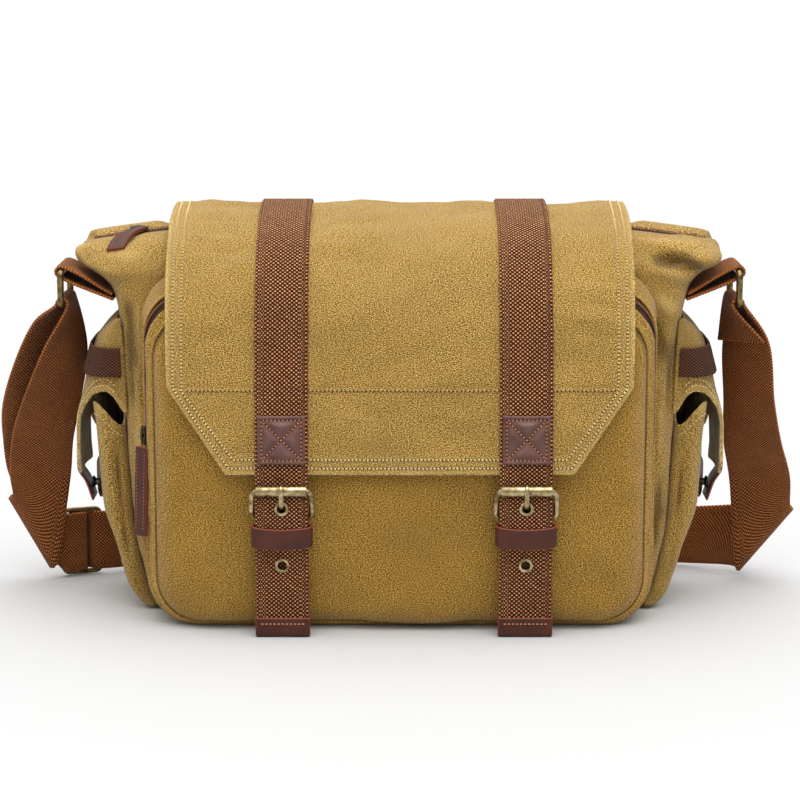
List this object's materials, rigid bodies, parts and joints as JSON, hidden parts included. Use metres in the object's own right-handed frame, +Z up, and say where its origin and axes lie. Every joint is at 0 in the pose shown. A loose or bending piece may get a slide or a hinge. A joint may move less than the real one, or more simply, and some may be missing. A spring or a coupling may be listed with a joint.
{
  "type": "camera messenger bag",
  "caption": "Canvas shoulder bag with a buckled front flap, zipped front pocket, bellows side pockets, webbing straps with roller buckles, leather trim and a wide webbing shoulder strap.",
  "frame": {"origin": "on the flat underside of the bag, midway between its two ends, below the front part of the main body", "axes": "+X to the viewer's right along the bag's width, +Y to the back, +Z up; the flap and buckles face -Y"},
  "size_m": [0.5412, 0.2027, 0.2661],
  "materials": {
    "canvas": "washed mustard-khaki cotton canvas with cream topstitching",
    "webbing": "coarse rust-brown cotton webbing with light flecks",
    "leather": "dark maroon-brown leather, satin, with reddish cut edges",
    "antique_brass": "antique brass, satin",
    "zip_tape": "brown zip tape and coil"
  },
  "bodies": {
    "root": {"main_body": "canvas", "front_pocket": "canvas", "main_flap": "canvas", "side_pocket_left": "canvas", "side_pocket_right": "canvas", "side_flap_left": "canvas", "side_flap_right": "canvas", "closing_strap_left": "webbing", "closing_strap_right": "webbing", "buckle_chape_left": "webbing", "buckle_chape_right": "webbing", "side_flap_band_left": "webbing", "side_flap_band_right": "webbing", "ring_tab_left": "webbing", "ring_tab_right": "webbing", "shoulder_strap": "webbing", "strap_patch_left": "leather", "strap_patch_right": "leather", "strap_keeper_left": "leather", "strap_keeper_right": "leather", "strap_tip_left": "leather", "strap_tip_right": "leather", "side_flap_tab_left": "leather", "side_flap_tab_right": "leather", "side_pocket_tab_left": "leather", "side_pocket_tab_right": "leather", "top_zip_pull": "leather", "front_zip_pull": "leather", "eyelet_left_1": "antique_brass", "eyelet_left_2": "antique_brass", "eyelet_right_1": "antique_brass", "eyelet_right_2": "antique_brass", "buckle_frame_left": "antique_brass", "buckle_frame_right": "antique_brass", "buckle_roller_left": "antique_brass", "buckle_roller_right": "antique_brass", "buckle_prong_left": "antique_brass", "buckle_prong_right": "antique_brass", "side_snap_left": "antique_brass", "side_snap_right": "antique_brass", "strap_ring_left": "antique_brass", "strap_ring_right": "antique_brass", "strap_slider": "antique_brass", "top_zip_slider": "antique_brass", "front_zip_slider": "antique_brass", "top_zip": "zip_tape", "front_zip": "zip_tape"}
  },
  "joints": []
}
